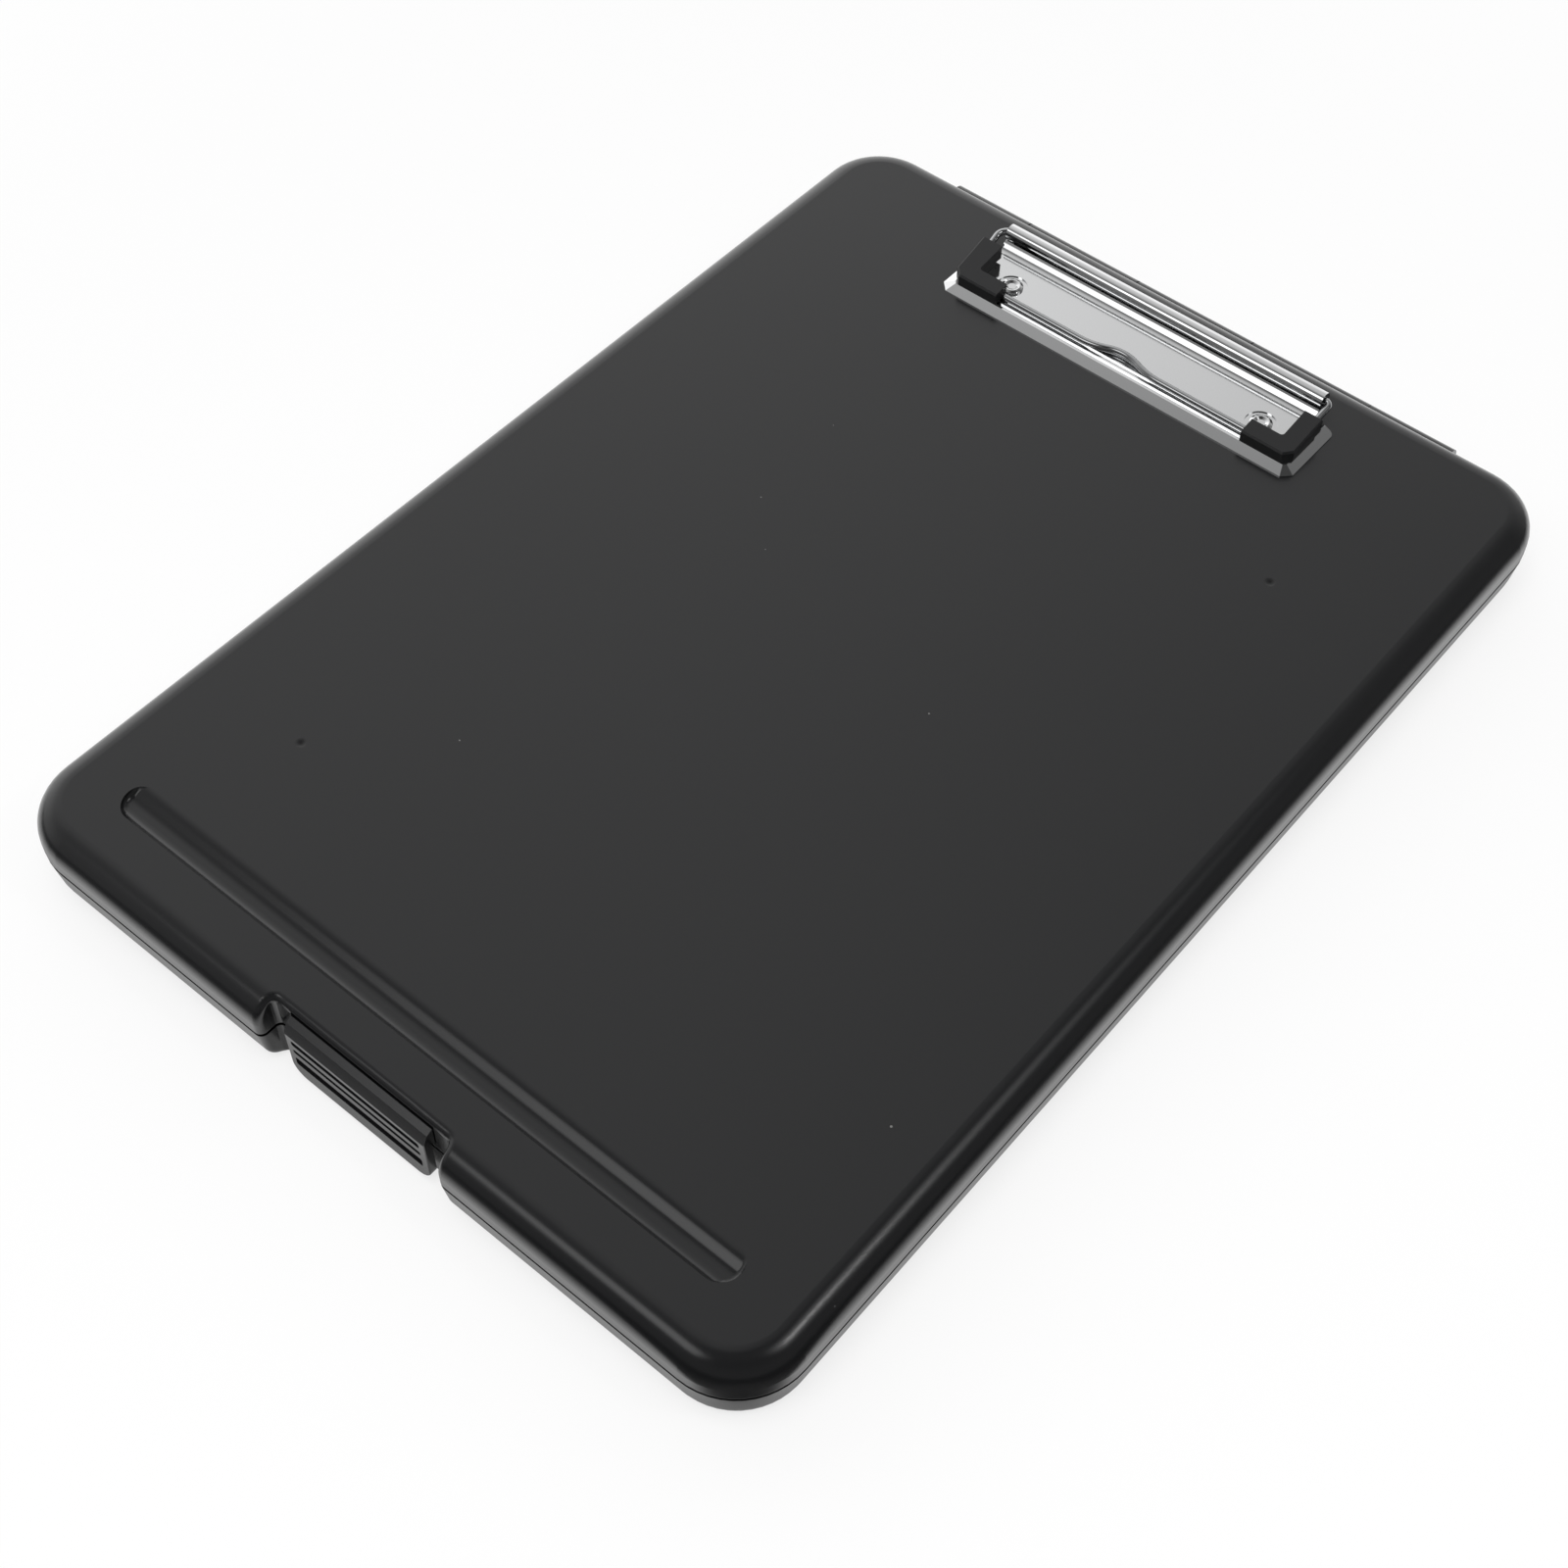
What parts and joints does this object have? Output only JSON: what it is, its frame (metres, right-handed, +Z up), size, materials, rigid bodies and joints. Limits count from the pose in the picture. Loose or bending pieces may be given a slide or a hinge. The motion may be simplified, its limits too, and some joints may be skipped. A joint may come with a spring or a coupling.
{
  "type": "storage clipboard box",
  "caption": "Flat hinged case for paper with a sprung wire clip on the lid, a pen trough and a ribbed flip latch at the front.",
  "frame": {"origin": "middle of the underside of the closed case, hinge barrels included", "axes": "+X to the right seen from the latch side, +Y towards the hinge and clip, +Z up through the lid"},
  "size_m": [0.241, 0.3444, 0.0329],
  "materials": {
    "shell_black": "fine satin grain",
    "latch_black": "fine satin grain",
    "clip_chrome": "polished plating",
    "rod_steel": "drawn wire",
    "grip_black": "satin"
  },
  "bodies": {
    "base": {"base_tray": "shell_black", "hinge_rod": "rod_steel"},
    "lid": {"lid_shell": "shell_black", "clip_plate": "clip_chrome", "clip_rivets": "clip_chrome", "rivet_washers": "rod_steel", "latch_pin": "rod_steel"},
    "latch": {"latch_tab": "latch_black"},
    "bail": {"clip_wire": "clip_chrome", "grip_left": "grip_black", "grip_right": "grip_black"}
  },
  "joints": [
    {"name": "lid_hinge", "type": "hinge", "parent": "base", "child": "lid", "pos_m": [0, 0.1682, 0.016], "axis": [-1, 0, 0], "range_deg": [0, 175]},
    {"name": "latch_hinge", "type": "hinge", "parent": "lid", "child": "latch", "pos_m": [0, -0.1645, 0.019], "axis": [-1, 0, 0], "range_deg": [0, 25]},
    {"name": "bail_hinge", "type": "hinge", "parent": "lid", "child": "bail", "pos_m": [-0.001, 0.1522, 0.0305], "axis": [-1, 0, 0], "range_deg": [0, 95], "stiffness_Nm_per_rad": 0.08, "springref_deg": -34.38}
  ]
}
